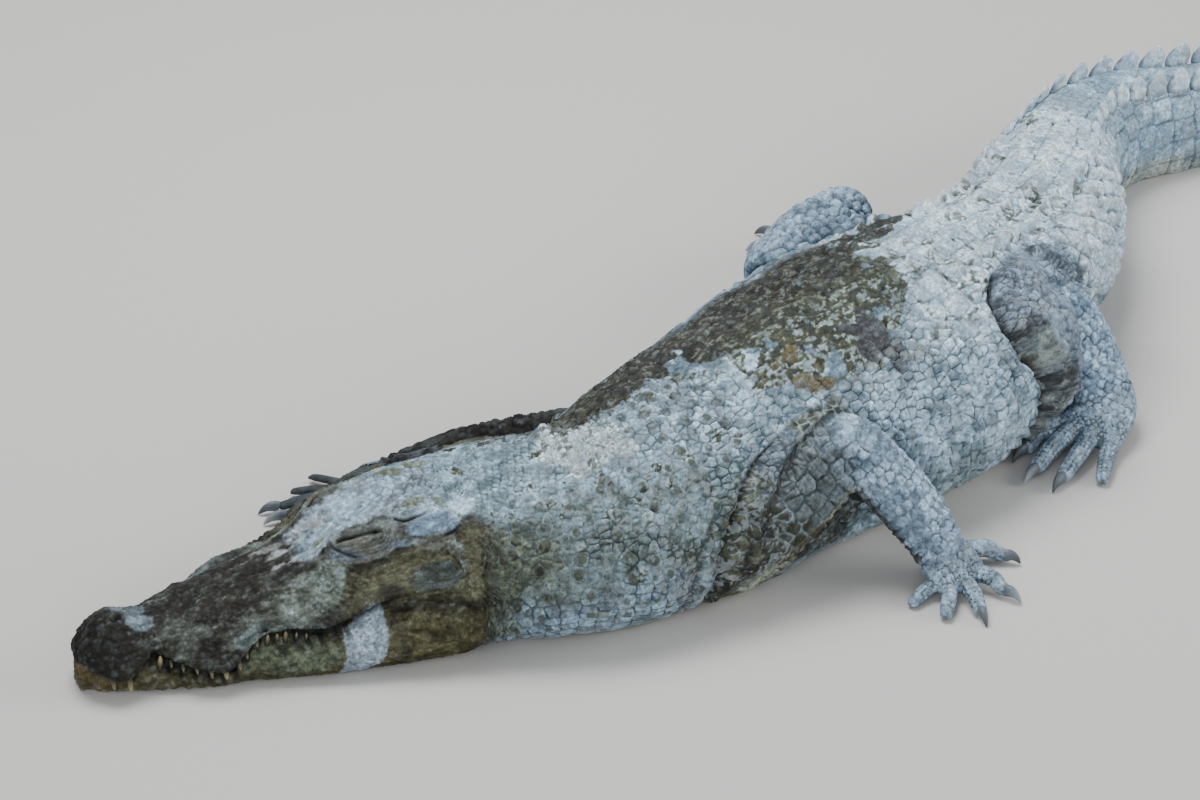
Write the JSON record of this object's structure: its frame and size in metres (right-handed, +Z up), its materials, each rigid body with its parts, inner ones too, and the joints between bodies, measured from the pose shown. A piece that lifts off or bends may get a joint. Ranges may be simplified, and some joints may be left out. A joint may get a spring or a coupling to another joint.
{
  "type": "crocodile",
  "caption": "Life-size still saltwater crocodile lying flat on its belly, head and jaws closed on the floor, tail curving round behind.",
  "frame": {"origin": "on the floor, under the middle of the animal's plan box", "axes": "+Z up; X along the animal's overall length, snout towards -X and tail towards +X; the animal's left side faces -Y"},
  "size_m": [3.7433, 1.1112, 0.312],
  "materials": {
    "hide": "dry matt scaly hide, pale grey with dark and olive patches",
    "horn": "dull blue-grey horn",
    "eye": "wet, glossy"
  },
  "bodies": {
    "root": {"head": "hide", "lower_jaw": "hide", "neck": "hide", "trunk_fore": "hide", "trunk_hind": "hide", "tail_root": "hide", "tail_middle": "hide", "tail_fin": "hide", "tail_tip": "hide", "upper_arm_left": "hide", "upper_arm_right": "hide", "forearm_left": "hide", "forearm_right": "hide", "hand_left": "hide", "hand_right": "hide", "thigh_left": "hide", "thigh_right": "hide", "shank_left": "hide", "shank_right": "hide", "foot_left": "hide", "foot_right": "hide", "claw_fore_left_1": "horn", "claw_fore_left_2": "horn", "claw_fore_left_3": "horn", "claw_fore_right_1": "horn", "claw_fore_right_2": "horn", "claw_fore_right_3": "horn", "claw_hind_left_1": "horn", "claw_hind_left_2": "horn", "claw_hind_left_3": "horn", "claw_hind_right_1": "horn", "claw_hind_right_2": "horn", "claw_hind_right_3": "horn", "eye_left": "eye", "eye_right": "eye"}
  },
  "joints": []
}
